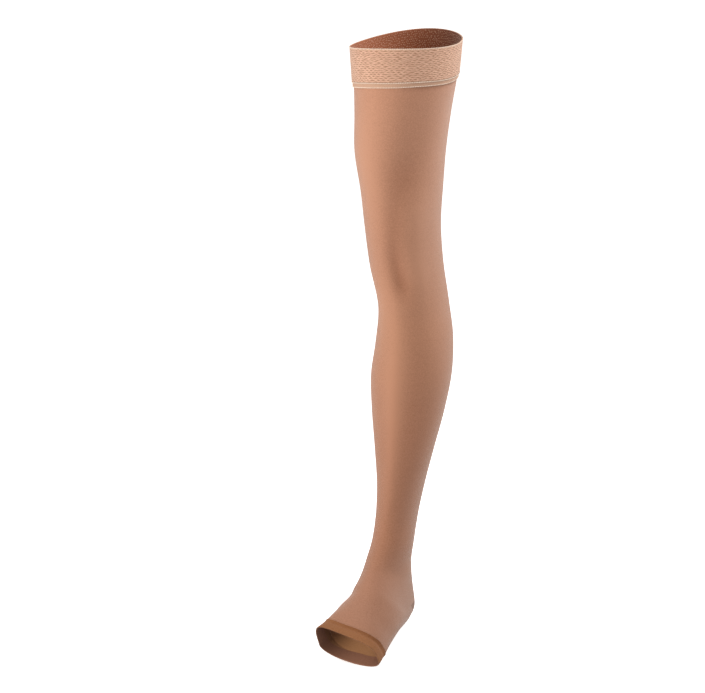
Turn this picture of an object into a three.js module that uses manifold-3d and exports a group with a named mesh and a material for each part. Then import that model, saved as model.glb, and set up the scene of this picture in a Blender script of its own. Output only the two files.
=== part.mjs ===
// One thigh-high compression stocking with an open toe, for a left leg, filled out as when worn.
// Millimetres, +Z up, toes towards -Y, outer side of the leg towards +X.
// The origin is where the thigh holds the stocking, in the middle of the grip band.

import * as THREE from 'three';
import { mergeVertices } from 'three/addons/utils/BufferGeometryUtils.js';
import Module from 'manifold-3d';

const wasm = await Module();
wasm.setup();

// Cloth
const KNIT_WALL = 1.2;
const BAND_WALL = 2;
const HEM_WALL = 1.6;
const GAP = 0.3;

// Grip band, a woven strip sewn over the top edge of the knitted tube
const BAND_WIDTH = 50;
const BINDING_WIDTH = 5.5;
const BINDING_WALL = 1.2;
const BINDING_STEP = 0.6;
const LAP = 6;
const BAND_EDGE_ROUND = 0.7;

// Toe hem, a folded ring of its own round the open toe
const HEM_WIDTH = 22;
const HEM_SLANT = { most: 5, bow: 4, reach: 60 };
const HEM_EDGE_ROUND = 0.6;
const HEM_FOLD = { depth: 2, middle: 6.5, reach: 3.5, centreDegrees: -48, spreadDegrees: 56 };

// Heel patch, seen from the side: its tip, its slant and how far down and back the cutter reaches
const HEEL_PATCH = { tipY: 20, topZ: 33, slant: 0.8, lowZ: -30, backY: 110, halfWidth: 60 };

// The tube is parted where the ankle turns into the foot
const ANKLE_PARTING = 140;

// How finely the tube is faceted
const LEG_SIDES = 36;
const FOOT_SIDES = 40;
const BAND_SIDES = 48;
const LEG_RING_SPACING = 25;
const FOOT_RING_SPACING = 10.5;

// Level sections of the leg, at heights above the sole. Set back is how far the middle lies behind
// the middle of the rim, sideways how far out from it. Tip raises the outer side of a section by that
// share of its width, and wave raises its front and back above its sides.
const LEG_COLUMNS = ['height', 'width', 'depth', 'sideways', 'setBack', 'tip', 'wave'];
const LEG_SECTIONS = {
  rim: [800, 132.5, 164, 1, 0, 0.055, 3],
  bandSeam: [750, 123.5, 162, 0, 0, 0.058, 3.8],
  topThigh: [712, 116, 159, -3, 0, 0.03, 1],
  thigh: [663, 110, 150, -7, 1, 0, 0],
  midThigh: [613, 99, 139, -6, 3, 0, 0],
  lowThigh: [563, 92, 128, -6, 6, 0, 0],
  knee: [513, 90, 121, -5, 15, 0, 0],
  belowKnee: [453, 85, 126, 1, 26, 0, 0],
  calf: [403, 96, 132, 0, 31, 0, 0],
  fullCalf: [358, 103, 126, -4, 31, 0, 0],
  lowCalf: [308, 94, 111, -8, 30, 0, 0],
  shin: [253, 76, 96, -13, 29, 0, 0],
  lowShin: [203, 60, 88, -18, 29, 0, 0],
  ankle: [153, 52, 82, -24, 27, 0, 0],
};

// Sections that fan round the ankle and run along the foot, each from a point on its top or front
// line to one on its sole or back line. Ridge moves the top point sideways, widest says how far down
// from the top the greatest width lies, the round values go from 2, an ellipse, to squarer ends, turn
// sets the outer side back by that share of the width, tip raises it and lean tips the top alone.
const FOOT_COLUMNS = [
  'topY', 'topZ', 'soleY', 'soleZ', 'width', 'sideways',
  'ridge', 'widest', 'roundTop', 'roundSole', 'turn', 'tip', 'lean',
];
const FOOT_SECTIONS = {
  ankleBone: [-19, 127, 60, 113, 52, -27, 0, 0.5, 2, 2, 0, 0, 0],
  overHeel: [-27, 111, 61, 78, 53, -31, 0, 0.5, 2, 2, 0, 0, 0],
  heelBack: [-38, 101, 70, 41, 57, -33, 0, 0.55, 2, 2, 0, 0, 0],
  heel: [-50, 94, 64, 11, 62, -32, 0, 0.6, 2.2, 2.4, 0, 0, 0],
  heelPad: [-61, 87, 39, 3, 66, -31, 0, 0.6, 2.3, 2.4, 0, 0, 0],
  instep: [-71, 80, 6, 8, 70, -28, -2, 0.6, 2.2, 2.5, 0, -0.02, 0],
  arch: [-83, 71, -32, 11, 75, -28.5, -5, 0.6, 2.2, 2.6, 0.05, -0.06, -0.01],
  midFoot: [-97, 61, -66, 6, 75, -29, -7, 0.6, 2.6, 2.7, 0.1, -0.11, -0.03],
  ball: [-111, 49, -94, 3, 78, -29, -6.5, 0.6, 3.8, 2.4, 0.13, -0.17, -0.06],
  toeEdge: [-127, 43, -118, 1, 80, -30.5, -6, 0.66, 4.6, 2.1, 0.15, -0.225, -0.1],
};

const GRIP_HEIGHT = LEG_SECTIONS.rim[0] - BAND_WIDTH / 2;
const SOFTEST = 1e-9;

function named(columns, values) {
  return Object.fromEntries(columns.map((column, i) => [column, values[i]]));
}

// A level leg section, written as the foot's sections are
function legSection(values) {
  const row = named(LEG_COLUMNS, values);
  return {
    topY: row.setBack - row.depth / 2,
    topZ: row.height,
    soleY: row.setBack + row.depth / 2,
    soleZ: row.height,
    width: row.width,
    sideways: row.sideways,
    ridge: 0,
    widest: 0.5,
    roundTop: 2,
    roundSole: 2,
    turn: 0,
    tip: row.tip,
    lean: 0,
    wave: row.wave,
  };
}

function footSection(values) {
  return { ...named(FOOT_COLUMNS, values), wave: 0 };
}

const SECTION_NAMES = [...Object.keys(LEG_SECTIONS), ...Object.keys(FOOT_SECTIONS)];
const SECTIONS = [
  ...Object.values(LEG_SECTIONS).map(legSection),
  ...Object.values(FOOT_SECTIONS).map(footSection),
];
const VALUES = Object.keys(SECTIONS[0]);

function middleOf(section) {
  return new THREE.Vector3(
    section.sideways,
    (section.topY + section.soleY) / 2,
    (section.topZ + section.soleZ) / 2,
  );
}

// Distance of each section from the rim, along the line through their middles
const STATIONS = [0];
for (let i = 1; i < SECTIONS.length; i++) {
  const step = middleOf(SECTIONS[i]).distanceTo(middleOf(SECTIONS[i - 1]));
  STATIONS.push(STATIONS[i - 1] + step);
}
const TOE = STATIONS.at(-1);

function stationOf(name) {
  return STATIONS[SECTION_NAMES.indexOf(name)];
}

// Rate of change of one value at section i, from its neighbours
function slopeAt(value, i) {
  const rise = (a, b) => (SECTIONS[b][value] - SECTIONS[a][value]) / (STATIONS[b] - STATIONS[a]);
  if (i === 0) return rise(0, 1);
  if (i === SECTIONS.length - 1) return rise(i - 1, i);
  const before = STATIONS[i] - STATIONS[i - 1];
  const after = STATIONS[i + 1] - STATIONS[i];
  return (after * rise(i - 1, i) + before * rise(i, i + 1)) / (before + after);
}

// The section at any distance from the rim, on smooth curves through the tables' rows
function sectionAt(station) {
  let i = STATIONS.findIndex((s) => s > station) - 1;
  if (i < 0) i = station < STATIONS[0] ? 0 : SECTIONS.length - 2;
  const span = STATIONS[i + 1] - STATIONS[i];
  const t = (station - STATIONS[i]) / span;
  const startWeight = (1 + 2 * t) * (1 - t) ** 2;
  const startSlope = t * (1 - t) ** 2 * span;
  const endWeight = t * t * (3 - 2 * t);
  const endSlope = t * t * (t - 1) * span;
  const blend = (value) =>
    startWeight * SECTIONS[i][value] + startSlope * slopeAt(value, i) +
    endWeight * SECTIONS[i + 1][value] + endSlope * slopeAt(value, i + 1);
  return Object.fromEntries(VALUES.map((value) => [value, blend(value)]));
}

function roundedPower(x, round) {
  return Math.sign(x) * Math.max(Math.abs(x), SOFTEST) ** (2 / round);
}

// A point of the knitted tube's outer face. The angle starts at the outer side of the leg and
// passes the back or sole at a quarter turn.
function surfacePoint(section, angle) {
  const s = section;
  const atTop = Math.sin(angle) < 0;
  const round = atTop ? s.roundTop : s.roundSole;
  const across = roundedPower(Math.cos(angle), round) * s.width / 2;
  const along = roundedPower(Math.sin(angle), round);
  const share = s.widest + along * (atTop ? s.widest : 1 - s.widest);
  const ridge = atTop ? -along * s.ridge : 0;
  const tilt = s.tip + (atTop ? s.lean * along * along : 0);
  const raised = tilt * across + s.wave * (2 * along * along - 1);
  return new THREE.Vector3(
    s.sideways + across + ridge,
    s.topY + (s.soleY - s.topY) * share + s.turn * across,
    s.topZ + (s.soleZ - s.topZ) * share + raised - GRIP_HEIGHT,
  );
}

// The same point moved out along the cloth's own normal
function clothPoint(station, angle, outwards) {
  const turn = 0.02;
  const run = 0.5;
  const section = sectionAt(station);
  const round = surfacePoint(section, angle + turn).sub(surfacePoint(section, angle - turn));
  const down = surfacePoint(sectionAt(station + run), angle)
    .sub(surfacePoint(sectionAt(station - run), angle));
  const normal = down.cross(round).normalize();
  return surfacePoint(section, angle).addScaledVector(normal, outwards);
}

// The hem's seam runs askew, nearer to the toes at the outer side of the foot, and bows towards them
// on the top of the foot. The cloth on both sides of it follows.
function slanted(station, angle) {
  const seam = TOE - HEM_WIDTH;
  const inHem = (TOE - station) / HEM_WIDTH;
  const inFoot = 1 - (seam - station) / HEM_SLANT.reach;
  const share = station > seam ? inHem : Math.max(0, inFoot);
  const across = Math.cos(angle);
  return station + share * (HEM_SLANT.most * across - HEM_SLANT.bow * across * across);
}

// A closed wall all round the leg. Its profile is a closed loop of [station, outwards] points, and
// shift, where given, moves the whole wall in or out at a station and an angle.
function wall(profile, sides, shift = () => 0) {
  const positions = [];
  for (const [station, outwards] of profile) {
    for (let i = 0; i < sides; i++) {
      const angle = (2 * Math.PI * i) / sides;
      const along = slanted(station, angle);
      const point = clothPoint(along, angle, outwards + shift(station, angle));
      positions.push(point.x, point.y, point.z);
    }
  }
  const indices = [];
  profile.forEach((_, row) => {
    const nextRow = (row + 1) % profile.length;
    for (let i = 0; i < sides; i++) {
      const next = (i + 1) % sides;
      const a = row * sides + i;
      const b = row * sides + next;
      const c = nextRow * sides + next;
      const d = nextRow * sides + i;
      indices.push(a, c, b, a, d, c);
    }
  });
  const geometry = new THREE.BufferGeometry();
  geometry.setAttribute('position', new THREE.Float32BufferAttribute(positions, 3));
  geometry.setIndex(indices);
  return facingOut(geometry);
}

function signedVolume(geometry) {
  const corners = [0, 1, 2].map(() => new THREE.Vector3());
  const { position } = geometry.attributes;
  let volume = 0;
  for (let i = 0; i < geometry.index.count; i += 3) {
    corners.forEach((corner, k) => corner.fromBufferAttribute(position, geometry.index.getX(i + k)));
    volume += corners[0].dot(corners[1].clone().cross(corners[2])) / 6;
  }
  return volume;
}

function facingOut(geometry) {
  if (signedVolume(geometry) < 0) geometry.setIndex([...geometry.index.array].reverse());
  geometry.computeVertexNormals();
  return geometry;
}

// Evenly spaced stations from one to another, both ends included
function stations(from, to, spacing) {
  const steps = Math.max(1, Math.round(Math.abs(to - from) / spacing));
  return Array.from({ length: steps + 1 }, (_, i) => from + ((to - from) * i) / steps);
}

function plainTube(from, to, spacing, sides) {
  const outside = stations(from, to, spacing).map((s) => [s, 0]);
  const inside = stations(to, from, spacing).map((s) => [s, -KNIT_WALL]);
  return wall([...outside, ...inside], sides);
}

// The band: outer face down to the binding, a small step in, the binding, and back up inside
function bandGeometry() {
  const inside = GAP;
  const outside = GAP + BAND_WALL;
  const bindingFace = GAP + BINDING_WALL;
  const seam = stationOf('bandSeam');
  const bindingTop = seam - BINDING_WIDTH;
  const spacing = 12;
  const round = BAND_EDGE_ROUND;
  return wall([
    [0, inside + round],
    [0, outside - round],
    ...stations(round, bindingTop - BINDING_STEP, spacing).map((s) => [s, outside]),
    [bindingTop, bindingFace],
    [seam, bindingFace],
    ...stations(seam, round, spacing).map((s) => [s, inside]),
  ], BAND_SIDES);
}

function legGeometry() {
  return plainTube(stationOf('bandSeam') - LAP, ANKLE_STATION - GAP / 2, LEG_RING_SPACING, LEG_SIDES);
}

// The fold in the hem: a soft trough below the knit, deepest at the outer side of the instep
function hemFold(station, angle) {
  const { depth, middle, reach, centreDegrees, spreadDegrees } = HEM_FOLD;
  const fromMiddle = (station - (TOE - HEM_WIDTH + middle)) / reach;
  const away = THREE.MathUtils.radToDeg(angle) - centreDegrees;
  const fromCentre = (THREE.MathUtils.euclideanModulo(away + 180, 360) - 180) / spreadDegrees;
  return -depth * Math.exp(-(fromMiddle ** 2)) * Math.exp(-(fromCentre ** 4));
}

function hemGeometry() {
  const outside = HEM_WALL - KNIT_WALL;
  const inside = -KNIT_WALL;
  const top = TOE - HEM_WIDTH;
  const round = HEM_EDGE_ROUND;
  const spacing = 3;
  return wall([
    ...stations(top, TOE - round, spacing).map((s) => [s, outside]),
    [TOE, outside - round],
    [TOE, inside + round],
    ...stations(TOE - round, top, spacing).map((s) => [s, inside]),
  ], FOOT_SIDES, hemFold);
}

function footGeometry() {
  return plainTube(ANKLE_STATION + GAP / 2, TOE - HEM_WIDTH - GAP, FOOT_RING_SPACING, FOOT_SIDES);
}

// The block that cuts the heel patch out of the foot, seen from the side a wedge with its tip forward
function heelCutter(grow) {
  const { tipY, topZ, slant, lowZ, backY, halfWidth } = HEEL_PATCH;
  const slantGrow = grow * Math.hypot(1, slant);
  const frontAt = (z) => tipY + (topZ - z) * slant - slantGrow;
  const outline = new THREE.Shape([
    new THREE.Vector2(frontAt(topZ + grow), topZ + grow - GRIP_HEIGHT),
    new THREE.Vector2(frontAt(lowZ), lowZ - GRIP_HEIGHT),
    new THREE.Vector2(backY, lowZ - GRIP_HEIGHT),
    new THREE.Vector2(backY, topZ + grow - GRIP_HEIGHT),
  ]);
  const block = new THREE.ExtrudeGeometry(outline, { depth: 2 * halfWidth, bevelEnabled: false });
  const sideView = new THREE.Matrix4().makeBasis(
    new THREE.Vector3(0, 1, 0),
    new THREE.Vector3(0, 0, 1),
    new THREE.Vector3(1, 0, 0),
  );
  return block.applyMatrix4(sideView.setPosition(SECTIONS.at(-1).sideways - halfWidth, 0, 0));
}

function toSolid(geometry) {
  const bare = geometry.clone();
  bare.deleteAttribute('normal');
  bare.deleteAttribute('uv');
  const merged = mergeVertices(bare);
  return new wasm.Manifold(new wasm.Mesh({
    numProp: 3,
    vertProperties: merged.attributes.position.array,
    triVerts: new Uint32Array(merged.index.array),
  }));
}

function toGeometry(solid) {
  const mesh = solid.getMesh();
  const geometry = new THREE.BufferGeometry();
  geometry.setAttribute('position', new THREE.BufferAttribute(mesh.vertProperties, 3));
  geometry.setIndex(new THREE.BufferAttribute(mesh.triVerts, 1));
  geometry.computeVertexNormals();
  return geometry;
}

function cloth(name, geometry, colour, roughness) {
  const material = new THREE.MeshStandardMaterial({ color: colour, roughness, metalness: 0 });
  const mesh = new THREE.Mesh(geometry, material);
  mesh.name = name;
  return mesh;
}

// The parting's station, found from its height in the sections' middle line
const ANKLE_STATION = stationOf('ankle') + (LEG_SECTIONS.ankle[0] - ANKLE_PARTING);

const knitColour = '#c08a6a';
const wholeFoot = toSolid(footGeometry());
const foot = toGeometry(wholeFoot.subtract(toSolid(heelCutter(GAP))));
const heel = toGeometry(wholeFoot.intersect(toSolid(heelCutter(0))));

const stocking = new THREE.Group();
stocking.add(
  cloth('top_band', bandGeometry(), '#d4a488', 0.85),
  cloth('leg', legGeometry(), knitColour, 0.8),
  cloth('foot', foot, knitColour, 0.8),
  cloth('heel', heel, '#a9775a', 0.85),
  cloth('toe_hem', hemGeometry(), '#9a6845', 0.85),
);

export default stocking;
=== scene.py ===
"""One thigh-high compression stocking with an open toe, for a left leg, filled out as when worn.

The knitted tube, its heel patch, the woven grip band with its silicone dots and the folded toe hem
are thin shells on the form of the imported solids. Lengths are millimetres until a mesh is made.
"""

import logging
import math
from dataclasses import dataclass, field
from typing import Any, Callable, Sequence

import bmesh
import bpy
import numpy as np
from mathutils import Matrix, Vector


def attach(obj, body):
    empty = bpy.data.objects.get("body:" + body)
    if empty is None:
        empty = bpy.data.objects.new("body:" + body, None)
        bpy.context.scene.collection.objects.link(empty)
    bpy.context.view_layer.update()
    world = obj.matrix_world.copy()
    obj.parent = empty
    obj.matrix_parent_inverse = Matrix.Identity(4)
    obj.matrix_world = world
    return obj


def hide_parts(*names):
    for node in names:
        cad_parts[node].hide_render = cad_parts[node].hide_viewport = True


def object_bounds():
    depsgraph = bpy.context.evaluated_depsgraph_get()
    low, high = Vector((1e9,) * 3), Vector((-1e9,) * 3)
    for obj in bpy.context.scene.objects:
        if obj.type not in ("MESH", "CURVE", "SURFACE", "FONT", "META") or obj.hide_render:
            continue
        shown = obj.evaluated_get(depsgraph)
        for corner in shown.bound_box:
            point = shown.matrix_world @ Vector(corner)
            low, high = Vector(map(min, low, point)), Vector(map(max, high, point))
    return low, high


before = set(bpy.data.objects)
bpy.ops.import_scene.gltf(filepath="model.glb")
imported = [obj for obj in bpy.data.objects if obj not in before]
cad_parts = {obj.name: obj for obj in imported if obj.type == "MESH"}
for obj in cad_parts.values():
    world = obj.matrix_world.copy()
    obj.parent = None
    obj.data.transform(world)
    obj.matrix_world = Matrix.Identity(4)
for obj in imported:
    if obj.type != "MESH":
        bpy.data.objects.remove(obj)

log = logging.getLogger("stocking")

MM = 0.001
TURN = 2 * math.pi
BODY = "root"
CAD_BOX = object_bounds()
SMOOTH_DEGREES = 55.0

# Cloth
KNIT_WALL = 0.9
GAP = 0.3
BAND_WALL = 2.0
BAND_WIDTH = 50.0
BINDING_WIDTH = 5.5
BINDING_WALL = 1.2
LAP = 6.0
HEM_WIDTH = 22.0
HEM_WALL = 1.6
KNIT_SOLID_WALL = 1.2
HEM_SLANT_MOST = 5.0
HEM_SLANT_BOW = 4.0
HEM_SLANT_REACH = 60.0

# Level sections of the leg, at heights above the sole
LEG_COLUMNS = ("height", "width", "depth", "sideways", "set_back", "tip", "wave")
LEG_SECTIONS = {
    "rim": (800, 132.5, 164, 1, 0, 0.055, 3),
    "band_seam": (750, 123.5, 162, 0, 0, 0.058, 3.8),
    "top_thigh": (712, 116, 159, -3, 0, 0.03, 1),
    "thigh": (663, 110, 150, -7, 1, 0, 0),
    "mid_thigh": (613, 99, 139, -6, 3, 0, 0),
    "low_thigh": (563, 92, 128, -6, 6, 0, 0),
    "knee": (513, 90, 121, -5, 15, 0, 0),
    "below_knee": (453, 85, 126, 1, 26, 0, 0),
    "calf": (403, 96, 132, 0, 31, 0, 0),
    "full_calf": (358, 103, 126, -4, 31, 0, 0),
    "low_calf": (308, 94, 111, -8, 30, 0, 0),
    "shin": (253, 76, 96, -13, 29, 0, 0),
    "low_shin": (203, 60, 88, -18, 29, 0, 0),
    "ankle": (153, 52, 82, -24, 27, 0, 0),
}

# Sections that fan round the ankle and run along the foot
FOOT_COLUMNS = (
    "top_y", "top_z", "sole_y", "sole_z", "width", "sideways",
    "ridge", "widest", "round_top", "round_sole", "turn", "tip", "lean",
)
FOOT_SECTIONS = {
    "ankle_bone": (-19, 127, 60, 113, 52, -27, 0, 0.5, 2, 2, 0, 0, 0),
    "over_heel": (-27, 111, 61, 78, 53, -31, 0, 0.5, 2, 2, 0, 0, 0),
    "heel_back": (-38, 101, 70, 41, 57, -33, 0, 0.55, 2, 2, 0, 0, 0),
    "heel": (-50, 94, 64, 11, 62, -32, 0, 0.6, 2.2, 2.4, 0, 0, 0),
    "heel_pad": (-61, 87, 39, 3, 66, -31, 0, 0.6, 2.3, 2.4, 0, 0, 0),
    "instep": (-71, 80, 6, 8, 70, -28, -2, 0.6, 2.2, 2.5, 0, -0.02, 0),
    "arch": (-83, 71, -32, 11, 75, -28.5, -5, 0.6, 2.2, 2.6, 0.05, -0.06, -0.01),
    "mid_foot": (-97, 61, -66, 6, 75, -29, -7, 0.6, 2.6, 2.7, 0.1, -0.11, -0.03),
    "ball": (-111, 49, -94, 3, 78, -29, -6.5, 0.6, 3.8, 2.4, 0.13, -0.17, -0.06),
    "toe_edge": (-127, 43, -118, 1, 80, -30.5, -6, 0.66, 4.6, 2.1, 0.15, -0.225, -0.1),
}
GRIP_HEIGHT = LEG_SECTIONS["rim"][0] - BAND_WIDTH / 2

# Soft forms of the leg under the cloth: where each is, how far it reaches and how high it stands
RELIEF_COLUMNS = ("height", "degrees", "reach_along", "reach_round", "rise")
RELIEF = {
    "thigh_muscle": (650, -112, 70, 26, 2.0),
    "thigh_furrow": (632, -60, 34, 19, -2.6),
    "outer_thigh_furrow": (690, -42, 70, 20, -1.6),
    "above_knee": (590, -40, 40, 18, 1.4),
    "hollow_above_knee": (578, -72, 34, 14, -2.0),
    "hollow_inside_knee": (522, -76, 32, 13, -3.2),
    "hollow_below_knee": (494, -70, 16, 12, -2.4),
    "knee_cap": (516, -46, 34, 18, 2.0),
    "inside_knee": (470, -118, 44, 20, 1.6),
    "shin_edge": (330, -88, 130, 15, 2.4),
    "calf_furrow": (340, -56, 110, 20, -1.2),
    "outer_ankle": (82, 6, 13, 24, 1.6),
    "inner_ankle": (92, 172, 14, 24, 1.6),
}


class StockingForm:
    """The knitted tube's outer face, from sections named along the leg and the foot."""

    def __init__(self) -> None:
        """Works out every section's place along the tube and how fast its sizes change there."""
        leg = [self._from_leg(dict(zip(LEG_COLUMNS, row))) for row in LEG_SECTIONS.values()]
        foot = [{**dict(zip(FOOT_COLUMNS, row)), "wave": 0.0} for row in FOOT_SECTIONS.values()]
        self.columns = tuple(leg[0])
        self.names = [*LEG_SECTIONS, *FOOT_SECTIONS]
        self.rows = np.array([[row[c] for c in self.columns] for row in leg + foot], float)
        at = {c: self.rows[:, i] for i, c in enumerate(self.columns)}
        middles = np.stack(
            [at["sideways"], (at["top_y"] + at["sole_y"]) / 2, (at["top_z"] + at["sole_z"]) / 2], 1
        )
        steps = np.linalg.norm(np.diff(middles, axis=0), axis=1)
        self.stations = np.concatenate([[0.0], np.cumsum(steps)])
        rises = np.diff(self.rows, axis=0) / steps[:, None]
        inner = (steps[1:, None] * rises[:-1] + steps[:-1, None] * rises[1:]) / (
            steps[1:] + steps[:-1]
        )[:, None]
        self.slopes = np.concatenate([rises[:1], inner, rises[-1:]])
        self.toe = float(self.stations[-1])

    @staticmethod
    def _from_leg(row: dict[str, float]) -> dict[str, float]:
        """Writes a level leg section as the foot's sections are written.

        Args:
            row: the leg section's sizes by name.

        Returns:
            The same section by the foot's names, with its wave.
        """
        half = row["depth"] / 2
        return {
            "top_y": row["set_back"] - half, "top_z": row["height"],
            "sole_y": row["set_back"] + half, "sole_z": row["height"],
            "width": row["width"], "sideways": row["sideways"], "ridge": 0.0,
            "widest": 0.5, "round_top": 2.0, "round_sole": 2.0,
            "turn": 0.0, "tip": row["tip"], "lean": 0.0, "wave": row["wave"],
        }

    def station_of(self, name: str) -> float:
        """Distance of a named section from the rim."""
        return float(self.stations[self.names.index(name)])

    def section(self, station: np.ndarray) -> dict[str, np.ndarray]:
        """Sizes of the section at any distance from the rim.

        Args:
            station: distances from the rim, along the line through the sections' middles.

        Returns:
            Each named size, in an array shaped as station.
        """
        last = len(self.stations) - 2
        i = np.clip(np.searchsorted(self.stations, station, side="right") - 1, 0, last)
        span = self.stations[i + 1] - self.stations[i]
        t = (station - self.stations[i]) / span
        start, end = (1 + 2 * t) * (1 - t) ** 2, t * t * (3 - 2 * t)
        leave, arrive = t * (1 - t) ** 2 * span, t * t * (t - 1) * span
        values = (
            start[..., None] * self.rows[i] + leave[..., None] * self.slopes[i]
            + end[..., None] * self.rows[i + 1] + arrive[..., None] * self.slopes[i + 1]
        )
        return {c: values[..., k] for k, c in enumerate(self.columns)}

    def surface(self, station: np.ndarray, angle: np.ndarray) -> np.ndarray:
        """Points of the tube's outer face.

        Args:
            station: distances from the rim.
            angle: from the outer side of the leg, through the back or sole at a quarter turn.

        Returns:
            Points of the row frame, in millimetres, along a new last axis.
        """
        s = self.section(station)
        at_top = np.sin(angle) < 0
        roundness = np.where(at_top, s["round_top"], s["round_sole"])
        across = _rounded(np.cos(angle), roundness) * s["width"] / 2
        along = _rounded(np.sin(angle), roundness)
        share = s["widest"] + along * np.where(at_top, s["widest"], 1 - s["widest"])
        ridge = np.where(at_top, -along * s["ridge"], 0.0)
        tilt = s["tip"] + np.where(at_top, s["lean"] * along * along, 0.0)
        raised = tilt * across + s["wave"] * (2 * along * along - 1)
        return np.stack([
            s["sideways"] + across + ridge,
            s["top_y"] + (s["sole_y"] - s["top_y"]) * share + s["turn"] * across,
            s["top_z"] + (s["sole_z"] - s["top_z"]) * share + raised - GRIP_HEIGHT,
        ], -1)

    def slanted(self, station: np.ndarray, angle: np.ndarray) -> np.ndarray:
        """Stations moved along the foot so that the hem's seam runs askew and bows to the toes.

        Args:
            station: distances from the rim.
            angle: angles round the tube, shaped the same.

        Returns:
            The moved stations.
        """
        seam = self.toe - HEM_WIDTH
        in_hem = (self.toe - station) / HEM_WIDTH
        in_foot = np.maximum(0, 1 - (seam - station) / HEM_SLANT_REACH)
        share = np.where(station > seam, in_hem, in_foot)
        across = np.cos(angle)
        return station + share * (HEM_SLANT_MOST * across - HEM_SLANT_BOW * across * across)

    def cloth(self, station: np.ndarray, angle: np.ndarray, outwards: np.ndarray) -> np.ndarray:
        """Points moved out from the tube's face along the cloth's own normal.

        Args:
            station: distances from the rim, before the seam's slant.
            angle: angles round the tube.
            outwards: how far out from the face.

        Returns:
            Points of the row frame, in millimetres, along a new last axis.
        """
        station, angle, outwards = np.broadcast_arrays(station, angle, outwards)
        station = self.slanted(station.astype(float), angle)
        turn, run = 0.02, 0.5
        around = self.surface(station, angle + turn) - self.surface(station, angle - turn)
        down = self.surface(station + run, angle) - self.surface(station - run, angle)
        normal = np.cross(down, around)
        normal /= np.linalg.norm(normal, axis=-1, keepdims=True)
        return self.surface(station, angle) + normal * outwards[..., None]

    def relief(self, station: np.ndarray, angle: np.ndarray) -> np.ndarray:
        """How far the leg's soft forms push the cloth out.

        Args:
            station: distances from the rim.
            angle: angles round the tube.

        Returns:
            Millimetres outwards, below 0 in a hollow.
        """
        station, angle = np.broadcast_arrays(station, angle)
        height = self.surface(station, angle)[..., 2] + GRIP_HEIGHT
        total = np.zeros(station.shape)
        for row in RELIEF.values():
            form = dict(zip(RELIEF_COLUMNS, row))
            away = (np.degrees(angle) - form["degrees"] + 180) % 360 - 180
            total += form["rise"] * np.exp(
                -(((height - form["height"]) / form["reach_along"]) ** 2)
                - (away / form["reach_round"]) ** 2
            )
        return total


def light_through(angle: np.ndarray, lit_degrees: float, focus: float = 2.0) -> np.ndarray:
    """How much painted light a place inside the tube gets, from 0 to 1: a glow in place of light
    through the cloth.

    Args:
        angle: angles round the tube.
        lit_degrees: the angle where the inside is lightest.
        focus: how fast it darkens away from there.

    Returns:
        The share, in an array shaped as angle.
    """
    return (0.5 + 0.5 * np.cos(angle - math.radians(lit_degrees))) ** focus


def _rounded(x: np.ndarray, roundness: np.ndarray) -> np.ndarray:
    """A cosine or sine drawn out towards the squarer ends of a rounded section."""
    softest = 1e-9
    return np.sign(x) * np.maximum(np.abs(x), softest) ** (2 / roundness)


FORM = StockingForm()


class Signal:
    """A socket of a material that takes part in arithmetic. Each operation adds its Math node."""

    def __init__(self, bench: "Bench", socket: bpy.types.NodeSocket) -> None:
        """Wraps one output socket of the bench's material."""
        self.bench = bench
        self.socket = socket

    def _apply(self, operation: str, *values: "Signal | float", clamp: bool = False) -> "Signal":
        """Adds a Math node on the given values and returns its result."""
        return self.bench.node(
            "ShaderNodeMath", {"operation": operation, "use_clamp": clamp}, dict(enumerate(values))
        )

    def __add__(self, other: "Signal | float") -> "Signal":
        """The sum with another signal or a number."""
        return self._apply("ADD", self, other)

    def __radd__(self, other: float) -> "Signal":
        """The sum with a number on the left."""
        return self._apply("ADD", other, self)

    def __sub__(self, other: "Signal | float") -> "Signal":
        """The difference from another signal or a number."""
        return self._apply("SUBTRACT", self, other)

    def __rsub__(self, other: float) -> "Signal":
        """A number less this signal."""
        return self._apply("SUBTRACT", other, self)

    def __mul__(self, other: "Signal | float") -> "Signal":
        """The product with another signal or a number."""
        return self._apply("MULTIPLY", self, other)

    def __rmul__(self, other: float) -> "Signal":
        """The product with a number on the left."""
        return self._apply("MULTIPLY", other, self)

    def __truediv__(self, other: "Signal | float") -> "Signal":
        """This signal over another or a number."""
        return self._apply("DIVIDE", self, other)

    def wave(self) -> "Signal":
        """A wave between 0 and 1, one for each whole step of the signal."""
        return self._apply("SINE", self * TURN) * 0.5 + 0.5

    def held(self) -> "Signal":
        """The signal kept between 0 and 1."""
        return self._apply("ADD", self, 0.0, clamp=True)

    def whole(self) -> "Signal":
        """The whole number below the signal."""
        return self._apply("FLOOR", self)


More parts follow.
